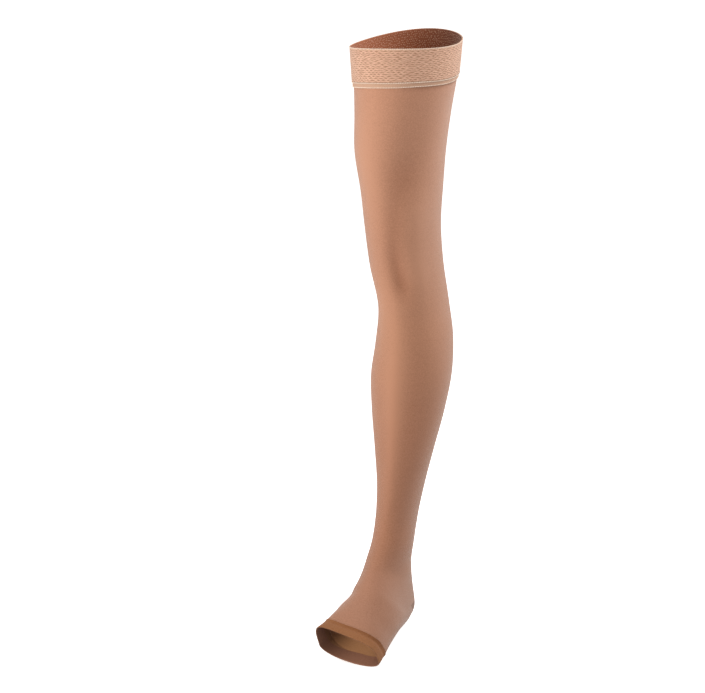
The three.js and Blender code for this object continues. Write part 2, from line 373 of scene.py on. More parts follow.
class Bench:
    """Builds one material's nodes round its Principled shader."""

    def __init__(self, name: str) -> None:
        """Starts an empty material with its shader and output.

        Args:
            name: the material's name.
        """
        self.material = bpy.data.materials.new(name)
        self.material.use_nodes = True
        self.tree = self.material.node_tree
        self.tree.nodes.clear()
        self.shader = self.tree.nodes.new("ShaderNodeBsdfPrincipled")
        output = self.tree.nodes.new("ShaderNodeOutputMaterial")
        self.tree.links.new(self.shader.outputs["BSDF"], output.inputs["Surface"])

    def node(
        self, kind: str, settings: dict[str, Any], inputs: dict[Any, Any], output: Any = 0
    ) -> Signal:
        """Adds any node, its settings first and then the values or links of its sockets.

        Args:
            kind: the node's type.
            settings: attributes of the node, or stops, a list of (place, colour) for a ramp.
            inputs: a value or Signal for each socket's name or number.
            output: the name or number of the socket to return.

        Returns:
            The chosen output.
        """
        node = self.tree.nodes.new(kind)
        for key, value in settings.items():
            if key == "stops":
                while len(node.color_ramp.elements) < len(value):
                    node.color_ramp.elements.new(1.0)
                for element, (place, colour) in zip(node.color_ramp.elements, value):
                    element.position, element.color = place, colour
            else:
                setattr(node, key, value)
        for key, value in inputs.items():
            self.feed(node.inputs[key], value)
        return Signal(self, node.outputs[output])

    def feed(self, socket: bpy.types.NodeSocket, value: Any) -> None:
        """Links a Signal to a socket, or sets the socket's own value.

        Args:
            socket: an input of a node.
            value: a Signal, or a value that the socket takes.
        """
        if isinstance(value, Signal):
            self.tree.links.new(value.socket, socket)
        else:
            socket.default_value = value

    def mix(self, share: Signal | float, base: Any, other: Any) -> Signal:
        """A colour between two, by a share from 0 to 1."""
        return self.node(
            "ShaderNodeMix",
            {"data_type": "RGBA", "clamp_factor": True},
            {"Factor": share, 6: base, 7: other},
            output=2,
        )

    def scaled(self, colour: Any, factors: Sequence[float]) -> Any:
        """A fixed or varying colour, or a varying place, with its channels multiplied.

        Args:
            colour: a colour, or the Signal of a colour or place.
            factors: what each of the three channels is multiplied by.

        Returns:
            A colour or a Signal, as it was given.
        """
        if isinstance(colour, Signal):
            return self.node(
                "ShaderNodeVectorMath", {"operation": "MULTIPLY"}, {0: colour, 1: factors}
            )
        return (*(channel * factor for channel, factor in zip(colour, factors)), 1.0)

    def place_on_cloth(self) -> tuple[Signal, Signal]:
        """The share of the way round the tube and the distance from the rim in metres."""
        uv = self.node("ShaderNodeUVMap", {"uv_map": "cloth"}, {})
        split = self.tree.nodes.new("ShaderNodeSeparateXYZ")
        self.feed(split.inputs[0], uv)
        return Signal(self, split.outputs[0]), Signal(self, split.outputs[1])

    def noise(
        self, scale: float, detail: float = 2.0, stretch: Sequence[float] = (1, 1, 1)
    ) -> Signal:
        """Soft noise in the row frame.

        Args:
            scale: waves to a metre.
            detail: how many finer layers it has.
            stretch: how much faster it changes along each axis.

        Returns:
            Values about 0.5.
        """
        place = self.node("ShaderNodeTexCoord", {}, {}, output="Object")
        spread = self.scaled(place, stretch)
        return self.node(
            "ShaderNodeTexNoise", {}, {"Vector": spread, "Scale": scale, "Detail": detail}
        )

    def attribute(self, name: str) -> Signal:
        """A value stored on the mesh's points."""
        return self.node("ShaderNodeAttribute", {"attribute_name": name}, {}, output="Fac")

    def paint_inside_glow(self, colour: Signal, strength: float) -> None:
        """Painted light: a dim glow of the inside faces, in place of light through the thin cloth.

        Args:
            colour: the cloth's colour.
            strength: how strongly the lightest place glows.
        """
        lit = self.mix(self.attribute("light_through"), (0.0, 0.0, 0.0, 1.0), colour)
        self.feed(self.shader.inputs["Emission Color"], lit)
        self.shader.inputs["Emission Strength"].default_value = strength

    def finish(
        self, colour: Any, roughness: Any, relief: Signal | None = None, depth: float = 0.0,
        sheen: float = 0.0, sheen_tint: Sequence[float] = (1, 1, 1, 1), specular: float = 0.25,
    ) -> bpy.types.Material:
        """Connects the shader and returns the material.

        Args:
            colour: base colour or its Signal.
            roughness: roughness or its Signal.
            relief: heights for the bump, from 0 to 1.
            depth: the bump's height in metres.
            sheen: weight of the soft light of loose fibres.
            sheen_tint: colour of that light.
            specular: level of the surface's own gloss.

        Returns:
            The finished material.
        """
        self.feed(self.shader.inputs["Base Color"], colour)
        self.feed(self.shader.inputs["Roughness"], roughness)
        if relief is not None:
            bump = self.node(
                "ShaderNodeBump", {}, {"Strength": 1.0, "Distance": depth, "Height": relief}
            )
            self.feed(self.shader.inputs["Normal"], bump)
        self.shader.inputs["Sheen Weight"].default_value = sheen
        self.shader.inputs["Sheen Roughness"].default_value = 0.45
        self.shader.inputs["Sheen Tint"].default_value = sheen_tint
        self.shader.inputs["Specular IOR Level"].default_value = specular
        return self.material


Colour = tuple[float, float, float, float]


def tone(red: int, green: int, blue: int) -> Colour:
    """A display colour as linear light.

    Args:
        red: its red, from 0 to 255.
        green: its green.
        blue: its blue.

    Returns:
        The colour as sockets take it.
    """
    channels = []
    for value in (red, green, blue):
        share = value / 255
        channels.append(share / 12.92 if share <= 0.04045 else ((share + 0.055) / 1.055) ** 2.4)
    return (channels[0], channels[1], channels[2], 1.0)


@dataclass(frozen=True)
class KnitFinish:
    """Fine elastic knit, its wales along the leg and its courses round it.

    Tones are rows of a height above the sole and the cloth's colour there, darker towards the
    ankle and foot: painted shade for the light falling off down the leg.
    """

    name: str
    tones: tuple[tuple[float, Colour], ...]
    deep_share: float = 0.2
    deeper: tuple[float, float, float] = (0.64, 0.53, 0.45)
    crest_highlight: tuple[float, float, float] = (1.18, 1.2, 1.22)
    wales: float = 560.0
    course: float = 0.0006
    grain_scale: float = 900.0
    mottle_scale: float = 620.0
    cloud_scale: float = 14.0
    rib_scale: float = 260.0
    shade_middle: float = 1.19
    sheen: float = 0.48
    relief: float = 0.00012
    glow: float = 0.0

    def _base(self, bench: Bench) -> Any:
        """The cloth's colour by its height up the leg, darker lower down as painted shade.

        Args:
            bench: the material that is built.

        Returns:
            One colour, or the Signal of a colour that changes up the leg.
        """
        if len(self.tones) == 1:
            return self.tones[0][1]
        place = bench.node("ShaderNodeTexCoord", {}, {}, output="Object")
        level = bench.node("ShaderNodeSeparateXYZ", {}, {0: place}, output=2)
        top = self.tones[-1][0]
        share = (level + GRIP_HEIGHT * MM) * (1 / (top * MM))
        stops = [(height / top, colour) for height, colour in self.tones]
        return bench.node("ShaderNodeValToRGB", {"stops": stops}, {0: share})

    def material(self) -> bpy.types.Material:
        """Builds the knit: stitches, fine grain, rib lines, painted shade in the hollows and the
        hem's fold, and painted highlight on the crests.
        """
        bench = Bench(self.name)
        around, along = bench.place_on_cloth()
        wale = (around * self.wales).wave()
        course = (along / self.course + (around * self.wales).whole() * 0.5).wave()
        stitch = wale * 0.6 + course * 0.4
        grain = bench.noise(self.grain_scale, 3.0)
        mottle = bench.noise(self.mottle_scale)
        cloud = bench.noise(self.cloud_scale, stretch=(1, 1, 0.45))
        rib = bench.noise(self.rib_scale, 1.0, (0.06, 0.06, 1.0))
        tension = bench.attribute("tension")
        base = self._base(bench)
        spread = grain * 0.7 + mottle * 1.1 + cloud * 0.35 + rib * 0.12 + stitch * 0.12
        # painted shade: hollows of the relief and the hem's fold darken the knit, on top of its
        # random mottle
        shade = (self.deep_share + (spread - self.shade_middle) * 0.8 - tension * 0.4).held()
        colour = bench.mix(shade, base, bench.scaled(base, self.deeper))
        # painted highlight: crests of the relief make the knit paler
        colour = bench.mix((tension * 0.25).held(), colour, bench.scaled(base, self.crest_highlight))
        # painted light: the inside faces glow
        if self.glow:
            bench.paint_inside_glow(colour, self.glow)
        roughness = 0.72 + grain * 0.16
        height_map = stitch * 0.7 + grain * 0.3 + rib * 0.15
        return bench.finish(
            colour, roughness, height_map, self.relief, self.sheen, (1.0, 0.93, 0.88, 1.0), 0.2
        )


@dataclass(frozen=True)
class WebbingFinish:
    """Woven elastic webbing between its raised floats, or the plain binding below them."""

    name: str
    colour: Colour
    deep: Colour
    ends: float = 420.0
    pick: float = 0.0012
    relief: float = 0.00025
    sheen: float = 0.3
    glow: float = 0.0

    def material(self) -> bpy.types.Material:
        """Builds the webbing: warp ends round the leg, picks across them and fibre grain."""
        bench = Bench(self.name)
        around, along = bench.place_on_cloth()
        ends = (around * self.ends).wave()
        picks = (along / self.pick + (around * self.ends).whole() * 0.5).wave()
        weave = ends * 0.45 + picks * 0.55
        grain = bench.noise(1100.0, 3.0)
        patch = bench.noise(120.0, 2.0, (0.5, 0.5, 1.0))
        shade = ((1 - weave) * 0.55 + grain * 0.35 + patch * 0.4 - 0.3).held()
        colour = bench.mix(shade, self.colour, self.deep)
        # painted light: the inside faces glow
        if self.glow:
            bench.paint_inside_glow(colour, self.glow)
        return bench.finish(
            colour, 0.78 + grain * 0.14, weave * 0.8 + grain * 0.2, self.relief,
            self.sheen, (1.0, 0.9, 0.84, 1.0), 0.2,
        )


@dataclass(frozen=True)
class YarnFinish:
    """Twisted yarn of raised floats or sewing, each length a little lighter or darker."""

    name: str
    colour: Colour
    deep: Colour
    twist: float = 900.0
    variation: float = 260.0
    sheen: float = 0.35

    def material(self) -> bpy.types.Material:
        """Builds the yarn: fibre twist, and a change of tone from one length to the next."""
        bench = Bench(self.name)
        fibres = bench.noise(self.twist, 3.0, (1, 1, 2.2))
        lengths = bench.noise(self.variation, 2.0, (0.6, 0.6, 2.0))
        shade = (fibres * 0.6 + lengths * 1.5 - 0.85).held()
        colour = bench.mix(shade, self.colour, self.deep)
        return bench.finish(
            colour, 0.62 + fibres * 0.2, fibres, 0.00012, self.sheen, (1.0, 0.92, 0.86, 1.0), 0.3
        )


@dataclass(frozen=True)
class SiliconeFinish:
    """Slightly cloudy silicone of the grip dots."""

    name: str
    colour: Colour
    deep: Colour

    def material(self) -> bpy.types.Material:
        """Builds the silicone: a soft gloss with faint clouding."""
        bench = Bench(self.name)
        cloud = bench.noise(700.0, 2.0)
        colour = bench.mix(cloud, self.colour, self.deep)
        return bench.finish(colour, 0.28 + cloud * 0.15, cloud, 0.00005, specular=0.5)


@dataclass(frozen=True)
class FloorFinish:
    """The studio's pale floor."""

    name: str = "pale_floor"
    colour: Colour = (0.9, 0.9, 0.9, 1.0)
    glow: float = 0.75

    def material(self) -> bpy.types.Material:
        """Builds the floor's matte paint."""
        bench = Bench(self.name)
        grain = bench.noise(3.0, 2.0)
        colour = bench.mix(grain * 0.1, self.colour, (0.86, 0.86, 0.86, 1.0))
        bench.shader.inputs["Emission Color"].default_value = (1.0, 1.0, 1.0, 1.0)
        bench.shader.inputs["Emission Strength"].default_value = self.glow
        return bench.finish(colour, 0.9, specular=0.0)


# tones darken towards the ankle and foot: painted shade for the light falling off down the leg
KNIT = KnitFinish(
    "fine_knit",
    (
        (0.0, tone(180, 131, 105)), (70.0, tone(184, 133, 106)), (140.0, tone(189, 132, 101)),
        (280.0, tone(195, 136, 104)), (420.0, tone(204, 145, 112)), (540.0, tone(208, 149, 117)),
        (800.0, tone(215, 156, 124)),
    ),
)
# the inside finishes glow: painted light inside the tube, the hem and the band
KNIT_INSIDE = KnitFinish(
    "fine_knit_inside", ((0.0, tone(130, 92, 62)),), sheen=0.1, glow=1.15
)
HEEL_KNIT = KnitFinish("heel_knit", ((0.0, tone(154, 110, 88)),), wales=420.0, sheen=0.3)
HEM_KNIT = KnitFinish("hem_knit", ((0.0, tone(164, 111, 72)),), wales=420.0, sheen=0.1)
HEM_INSIDE = KnitFinish(
    "hem_knit_inside", ((0.0, tone(132, 92, 72)),), wales=420.0, sheen=0.05, glow=0.6
)
WEBBING = WebbingFinish("band_webbing", tone(202, 150, 120), tone(162, 110, 82))
BINDING = WebbingFinish(
    "band_binding", tone(230, 184, 154), tone(196, 148, 120), ends=260.0, pick=0.0022
)
WEBBING_INSIDE = WebbingFinish(
    "band_webbing_inside", tone(134, 80, 54), tone(98, 52, 34), glow=1.1
)
YARN_ROWS = YarnFinish("band_row_yarn", tone(240, 193, 163), tone(186, 128, 98))
THREAD = YarnFinish("sewing_thread", tone(255, 234, 212), tone(238, 202, 176))
SILICONE = SiliconeFinish("silicone", tone(240, 198, 172), tone(206, 156, 130))


@dataclass
class ClothMesh:
    """Points and faces of one piece, gathered before its mesh is made."""

    points: list[np.ndarray] = field(default_factory=list)
    faces: list[np.ndarray] = field(default_factory=list)
    places: list[np.ndarray] = field(default_factory=list)
    slots: list[np.ndarray] = field(default_factory=list)
    count: int = 0

    def add(self, points: np.ndarray, faces: np.ndarray, places: np.ndarray, slot: int = 0) -> None:
        """Adds quads.

        Args:
            points: millimetre points, one a row.
            faces: four point numbers a row.
            places: for each face corner, the share round the tube and the metres from the rim.
            slot: number of the material that the faces take.
        """
        self.points.append(points)
        self.faces.append(faces + self.count)
        self.places.append(places)
        self.slots.append(np.full(len(faces), slot))
        self.count += len(points)

    def mesh(
        self, name: str, finishes: Sequence[bpy.types.Material], marks: dict[str, np.ndarray]
    ) -> bpy.types.Mesh:
        """Makes the mesh.

        Args:
            name: the piece's name.
            finishes: its materials, by slot number.
            marks: values for each point that the finishes read, by name.

        Returns:
            The new mesh.
        """
        mesh = bpy.data.meshes.new(name)
        points = np.concatenate(self.points) * MM
        mesh.from_pydata(points.tolist(), [], np.concatenate(self.faces).tolist())
        layer = mesh.uv_layers.new(name="cloth")
        layer.data.foreach_set("uv", np.concatenate(self.places).ravel())
        for finish in finishes:
            mesh.materials.append(finish)
        mesh.polygons.foreach_set("material_index", np.concatenate(self.slots))
        for mark, values in marks.items():
            mesh.attributes.new(mark, "FLOAT", "POINT").data.foreach_set("value", values.ravel())
        return mesh

    def build(
        self, name: str, finishes: Sequence[bpy.types.Material],
        marks: dict[str, np.ndarray] | None = None,
    ) -> bpy.types.Object:
        """Makes the object, with its place in the mesh. Takes what mesh takes."""
        return place_in_scene(name, self.mesh(name, finishes, marks or {}))


def place_in_scene(name: str, mesh: bpy.types.Mesh) -> bpy.types.Object:
    """Smooths a finished mesh and links it to the scene as an object at the origin.

    Args:
        name: the object's name.
        mesh: its mesh, which holds its place.

    Returns:
        The new object.
    """
    mesh.shade_smooth()
    mesh.set_sharp_from_angle(angle=math.radians(SMOOTH_DEGREES))
    mesh.update()
    piece = bpy.data.objects.new(name, mesh)
    bpy.context.scene.collection.objects.link(piece)
    return piece


def carry(piece: bpy.types.Object, slot: str, *nodes: str) -> bpy.types.Object:
    """Makes a piece ride on the part, hides the solids that it stands for and logs its slot.

    Args:
        piece: the finished object.
        slot: its material slot's name, which is only logged.
        nodes: the solids that it replaces.

    Returns:
        The piece.
    """
    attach(piece, BODY)
    if nodes:
        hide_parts(*nodes)
    triangles = sum(len(p.vertices) - 2 for p in piece.data.polygons)
    log.info("%s: %d triangles, slot %s, replaces %s", piece.name, triangles, slot, nodes)
    return piece


def loop_quads(stations: np.ndarray, sides: int, closed: bool) -> tuple[np.ndarray, np.ndarray]:
    """Quads between rings of points, ring after ring, facing out of the tube.

    Args:
        stations: the rings' distances from the rim.
        sides: points in a ring.
        closed: whether the last ring joins the first.

    Returns:
        Four point numbers a row, and for each corner the share round the tube and the metres
        from the rim.
    """
    rows = len(stations)
    row = np.arange(rows if closed else rows - 1)[:, None]
    side = np.arange(sides)[None, :]
    corners = [(1, 0), (1, 1), (0, 1), (0, 0)]
    numbers = [((row + down) % rows) * sides + (side + on) % sides for down, on in corners]
    places = [
        np.stack(np.broadcast_arrays(
            (side + on) / sides, stations[(row + down) % rows] * MM), -1)
        for down, on in corners
    ]
    quads = np.stack(np.broadcast_arrays(*numbers), -1).reshape(-1, 4)
    return quads, np.stack(places, 2).reshape(-1, 2)


def spaced(start: float, end: float, spacing: float) -> np.ndarray:
    """Evenly spaced stations from one to another, both ends included."""
    steps = max(1, round(abs(end - start) / spacing))
    return np.linspace(start, end, steps + 1)


@dataclass
class KnitTube:
    """The knitted leg and foot, one tube, with the heel patch knitted into it."""

    sides: int = 120
    leg_spacing: float = 4.0
    foot_spacing: float = 2.6
    wall: float = KNIT_WALL
    lap_over_hem: float = 1.2
    lift_over_hem: float = 0.75
    lift_reach: float = 2.4
    full_painted_shading: float = 3.0
    lit_degrees: float = 90.0
    light_focus: float = 5.0
    patch_tip_y: float = 20.0
    patch_top: float = 33.0
    patch_slant: float = 0.8

    def stations(self) -> np.ndarray:
        """Where the tube's rings lie, from inside the band to the hem."""
        parting = FORM.station_of("ankle")
        end = FORM.toe - HEM_WIDTH + self.lap_over_hem
        start = FORM.station_of("band_seam") - LAP
        return np.concatenate([
            spaced(start, parting, self.leg_spacing)[:-1],
            spaced(parting, end - self.lift_reach, self.foot_spacing)[:-1],
            spaced(end - self.lift_reach, end, 0.75),
        ])

    def sheet(self) -> bpy.types.Mesh:
        """The tube's outer face as one open sheet, from the band to the hem."""
        stations = self.stations()
        angles = np.arange(self.sides) * TURN / self.sides
        s, a = np.meshgrid(stations, angles, indexing="ij")
        from_end = (s - (stations[-1] - self.lift_reach)) / self.lift_reach
        lift = self.lift_over_hem * np.clip(from_end, 0, 1) ** 2
        relief = FORM.relief(s, a)
        points = FORM.cloth(s, a, relief + lift).reshape(-1, 3)
        cloth = ClothMesh()
        cloth.add(points, *loop_quads(stations, self.sides, False))
        marks = {
            # painted shade in the relief's hollows and painted highlight on its crests
            "tension": relief / self.full_painted_shading,
            # painted light: the tube's inside glows most towards the back and the sole
            "light_through": light_through(a, self.lit_degrees, self.light_focus),
        }
        return cloth.mesh("tube_sheet", [], marks)

    def _in_patch(self, point: Vector) -> bool:
        """Whether a point of the tube, in metres, lies in the heel patch."""
        top = (self.patch_top - GRIP_HEIGHT) * MM
        front = self.patch_tip_y * MM + (top - point.z) * self.patch_slant
        return point.z < top and point.y > front

    def _part(self, mesh: bpy.types.Mesh, keep_patch: bool) -> bpy.types.Mesh:
        """One part of the sheet, cut along the heel patch's edge.

        Args:
            mesh: the whole sheet.
            keep_patch: True for the patch, False for the rest.

        Returns:
            The part as a new mesh.
        """
        near_patch, merged = 0.02, 1e-6
        form = bmesh.new()
        form.from_mesh(mesh)
        top = Vector((0, self.patch_tip_y * MM, (self.patch_top - GRIP_HEIGHT) * MM))
        for across in (Vector((0, 0, 1)), Vector((0, 1, self.patch_slant)).normalized()):
            near = [f for f in form.faces if f.calc_center_median().z < top.z + near_patch]
            edges = {edge for face in near for edge in face.edges}
            corners = {corner for face in near for corner in face.verts}
            bmesh.ops.bisect_plane(
                form, geom=[*near, *edges, *corners], plane_co=top, plane_no=across, dist=merged
            )
        drop = [f for f in form.faces if self._in_patch(f.calc_center_median()) != keep_patch]
        bmesh.ops.delete(form, geom=drop, context="FACES")
        part = bpy.data.meshes.new(mesh.name)
        form.to_mesh(part)
        form.free()
        return part

    def _shell(
        self, name: str, mesh: bpy.types.Mesh, finishes: Sequence[bpy.types.Material]
    ) -> bpy.types.Object:
        """Thickens an open sheet inwards into cloth.

        Args:
            name: the piece's name.
            mesh: its outer face.
            finishes: the outer and the inner finish.

        Returns:
            The cloth piece.
        """
        for finish in finishes:
            mesh.materials.append(finish)
        piece = place_in_scene(name, mesh)
        thicken = piece.modifiers.new("thickness", "SOLIDIFY")
        thicken.thickness = self.wall * MM
        thicken.offset = -1.0
        thicken.use_even_offset = True
        thicken.material_offset = 1
        thicken.material_offset_rim = 0
        with bpy.context.temp_override(object=piece, active_object=piece):
            bpy.ops.object.modifier_apply(modifier=thicken.name)
        piece.data.set_sharp_from_angle(angle=math.radians(SMOOTH_DEGREES))
        return piece

    def build(self) -> list[bpy.types.Object]:
        """Makes the tube and the heel patch.

        Returns:
            Both pieces.
        """
        whole = self.sheet()
        inside = KNIT_INSIDE.material()
        tube = self._shell("knit_tube", self._part(whole, False), [KNIT.material(), inside])
        patch = self._shell("heel_patch", self._part(whole, True), [HEEL_KNIT.material(), inside])
        carry(tube, "knit", "leg", "foot")
        carry(patch, "heel_knit", "heel")
        return [tube, patch]


@dataclass
class GripBand:
    """The woven elastic band, its raised floats, its binding, sewing and silicone dots."""

    sides: int = 240
    wall: float = BAND_WALL
    edge_round: float = 0.7
    lip: float = 0.15
    worn_round: float = 450.0
    outer_rise: float = 2.8
    outer_degrees: float = -10.0
    outer_reach: float = 55.0
    yarn_rows: int = 17
    first_row: float = 1.9
    row_pitch: float = 2.44
    row_width: float = 2.3
    row_height: float = 0.4
    waves_round: int = 56
    wave_sway: float = 0.42
    wave_change: int = 2
    wave_steps: int = 8
    drifts: tuple[tuple[int, float], ...] = ((5, 1.9), (13, 1.1))
    swells: tuple[tuple[int, float], ...] = ((19, 0.45), (31, 0.25))
    yarn_sunk: float = 0.12
    below_rim: float = 0.3
    above_binding: float = 0.9
    above_edge: float = 0.7
    thread_proud: float = 0.15
    stitches: int = 200
    stitch_share: float = 0.43
    stitch_half: float = 0.7
    stitch_slant: float = 0.16
    stitch_height: float = 0.55
    stitch_sunk: float = 0.08
    dot_rows: int = 15
    dots_round: int = 160
    dot_radius: float = 0.62
    dot_height: float = 0.4
    first_dots: float = 3.0
    dot_pitch: float = 3.05
    dot_stray: float = 0.34
    lit_degrees: float = 180.0

    def build(self) -> list[bpy.types.Object]:
        """Makes the band with everything on it.

        Returns:
            The band's pieces.
        """
        band = self._band()
        rows = self._yarn_rows()
        seam = FORM.station_of("band_seam")
        webbing_face = GAP + self.wall
        above_binding = seam - BINDING_WIDTH - self.above_binding
        threads = [
            self._thread("rim_thread", self.below_rim, webbing_face),
            self._thread("binding_thread_upper", above_binding, webbing_face + self.thread_proud),
            self._thread("binding_thread_lower", seam - self.above_edge, GAP + BINDING_WALL),
        ]
        dots = self._dots()
        return [band, rows, *threads, dots]

    def _worn(self, station: np.ndarray, angle: np.ndarray) -> np.ndarray:
        """Stations on the band as it is worn, its lower edge a little higher at the outer side.

        Args:
            station: distances from the rim, as woven.
            angle: angles round the tube.

        Returns:
            The raised stations.
        """
        away = (np.degrees(angle) - self.outer_degrees + 180) % 360 - 180
        rise = self.outer_rise * np.exp(-((away / self.outer_reach) ** 4))
        return station * (1 - rise / BAND_WIDTH)

    def _band(self) -> bpy.types.Object:
        """The webbing and the plain binding along its lower edge."""
        inside, outside, binding = GAP, GAP + self.wall, GAP + BINDING_WALL
        seam = FORM.station_of("band_seam")
        step = seam - BINDING_WIDTH
        e = self.edge_round
        outer = [(s, outside) for s in spaced(e, step - 1.0, 1.5)]
        lower = [(s, binding) for s in spaced(step, seam - 0.4, 1.2)]
        inner = [(s, inside) for s in spaced(seam, e, 3.0)]
        profile = [
            (0.0, inside + e), (-self.lip, (inside + outside) / 2), (0.0, outside - e),
            *outer, (step - 0.5, outside - 0.35), *lower, (seam, binding - 0.5), *inner,
        ]
        stations = np.array([s for s, _ in profile])
        outwards = np.array([o for _, o in profile])
        angles = np.arange(self.sides) * TURN / self.sides
        s, a = np.meshgrid(stations, angles, indexing="ij")
        points = FORM.cloth(self._worn(s, a), a, outwards[:, None]).reshape(-1, 3)
        cloth = ClothMesh()
        cloth.add(points, *loop_quads(stations, self.sides, True))
        ring = np.repeat(np.arange(len(profile)), self.sides)
        rim_end = 3
        webbing_end = rim_end + len(outer)
        binding_end = webbing_end + 1 + len(lower)
        webbing = (ring >= rim_end) & (ring < webbing_end)
        cloth.slots[0] = np.where(webbing, 0, np.where(ring < binding_end, 1, 2))
        piece = cloth.build(
            "grip_band", [WEBBING.material(), BINDING.material(), WEBBING_INSIDE.material()],
            # painted light: the band's inside glows most at the inner side of the leg
            {"light_through": light_through(a, self.lit_degrees)},
        )
        return carry(piece, "band", "top_band")

    def _yarn_rows(self) -> bpy.types.Object:
        """The raised yarns round the band, each swaying against the next with gaps between.

        Returns:
            All rows as one piece.
        """
        rng = np.random.default_rng(7)
        around = np.linspace(0, TURN, self.waves_round * self.wave_steps + 1)[None, :, None]
        across = np.linspace(-1, 1, 5)[None, None, :]
        row = np.arange(self.yarn_rows)[:, None, None]
        slow = [rng.uniform(0, TURN, (self.yarn_rows, 1, 1)) for _ in range(4)]
        waves = self.waves_round + rng.integers(-self.wave_change, self.wave_change + 1, row.shape)
        changes = [
            size * np.sin(count * around + start)
            for (count, size), start in zip((*self.drifts, *self.swells), slow)
        ]
        drift, fullness = changes[0] + changes[1], 1 + changes[2] + changes[3]
        phase = waves * around + row * math.pi + drift
        sway = self.wave_sway * fullness * np.sin(phase)
        station = self.first_row + row * self.row_pitch + sway + across * self.row_width / 2
        crown = (1 - across ** 2) * (0.8 + 0.2 * np.cos(2 * phase))
        out = GAP + self.wall - self.yarn_sunk + crown * self.row_height
        return self._scatter("band_yarn_rows", station, around, out, YARN_ROWS.material())

    def _scatter(
        self, name: str, station: np.ndarray, angle: np.ndarray, out: np.ndarray,
        finish: bpy.types.Material,
    ) -> bpy.types.Object:
        """Makes one piece of many small domed patches.

        Args:
            name: the piece's name.
            station: distances from the rim, an array of patches by rows by columns.
            angle: angles round the tube, in that shape or one that spreads to it.
            out: how far out each point stands.
            finish: the material.

        Returns:
            The piece.
        """
        station, angle, out = np.broadcast_arrays(self._worn(station, angle), angle, out)
        patches, rows, columns = station.shape
        points = FORM.cloth(station, angle, out).reshape(-1, 3)
        r, c = np.meshgrid(np.arange(rows - 1), np.arange(columns - 1), indexing="ij")
        one = np.stack([
            r * columns + c, (r + 1) * columns + c, (r + 1) * columns + c + 1, r * columns + c + 1
        ], -1).reshape(-1, 4)
        faces = (one[None] + np.arange(patches)[:, None, None] * rows * columns).reshape(-1, 4)
        start = (station[:1], angle[:1])
        outwards = FORM.cloth(*start, out[:1] + 1) - FORM.cloth(*start, out[:1])
        first, second, third = (points[faces[0, k]] for k in range(3))
        if np.dot(np.cross(second - first, third - first), outwards.reshape(-1, 3)[0]) < 0:
            faces = faces[:, ::-1]
        flat = np.stack([angle.reshape(-1) / TURN, station.reshape(-1) * MM], -1)
        cloth = ClothMesh()
        cloth.add(points, faces, flat[faces].reshape(-1, 2))
        return carry(cloth.build(name, [finish]), "band")

    def _thread(self, name: str, station: float, face: float) -> bpy.types.Object:
        """A line of sewing round the band, stitch by stitch.

        Args:
            name: the piece's name.
            station: its distance from the rim.
            face: how far out the cloth under it lies.

        Returns:
            The piece.
        """
        centre = np.arange(self.stitches) * TURN / self.stitches
        u, v = np.meshgrid(np.linspace(-1, 1, 6), np.linspace(-1, 1, 4), indexing="ij")
        angle = centre[:, None, None] + u * self.stitch_share * TURN / self.stitches
        half = self.stitch_half * np.sqrt(1 - 0.7 * u ** 4)
        place = station + v * half + u * self.stitch_slant
        out = face - self.stitch_sunk + self.stitch_height * (1 - u ** 4) * (1 - v ** 2)
        return self._scatter(name, place, angle, out, THREAD.material())

    def _dots(self) -> bpy.types.Object:
        """The silicone dots inside the band, in offset rows."""
        rows, count = np.meshgrid(np.arange(self.dot_rows), np.arange(self.dots_round))
        rows, count = rows.ravel(), count.ravel()
        rng = np.random.default_rng(11)
        stray = rng.uniform(-self.dot_stray, self.dot_stray, (2, rows.size))
        centre_angle = (count + (rows % 2) * 0.5 + stray[0]) * TURN / self.dots_round
        centre_station = self.first_dots + (rows + stray[1]) * self.dot_pitch
        radius, around = np.meshgrid(np.linspace(0, 1, 3), np.linspace(0, TURN, 8), indexing="ij")
        across = radius * np.cos(around) * self.dot_radius / self.worn_round * TURN
        down = radius * np.sin(around) * self.dot_radius
        rise = self.dot_height * np.sqrt(np.clip(1 - radius ** 2, 0, 1))
        angle = centre_angle[:, None, None] + across
        station = centre_station[:, None, None] + down
        out = GAP + 0.1 - rise
        piece = self._scatter("silicone_dots", station, angle, out, SILICONE.material())
        piece.data.flip_normals()
        return piece


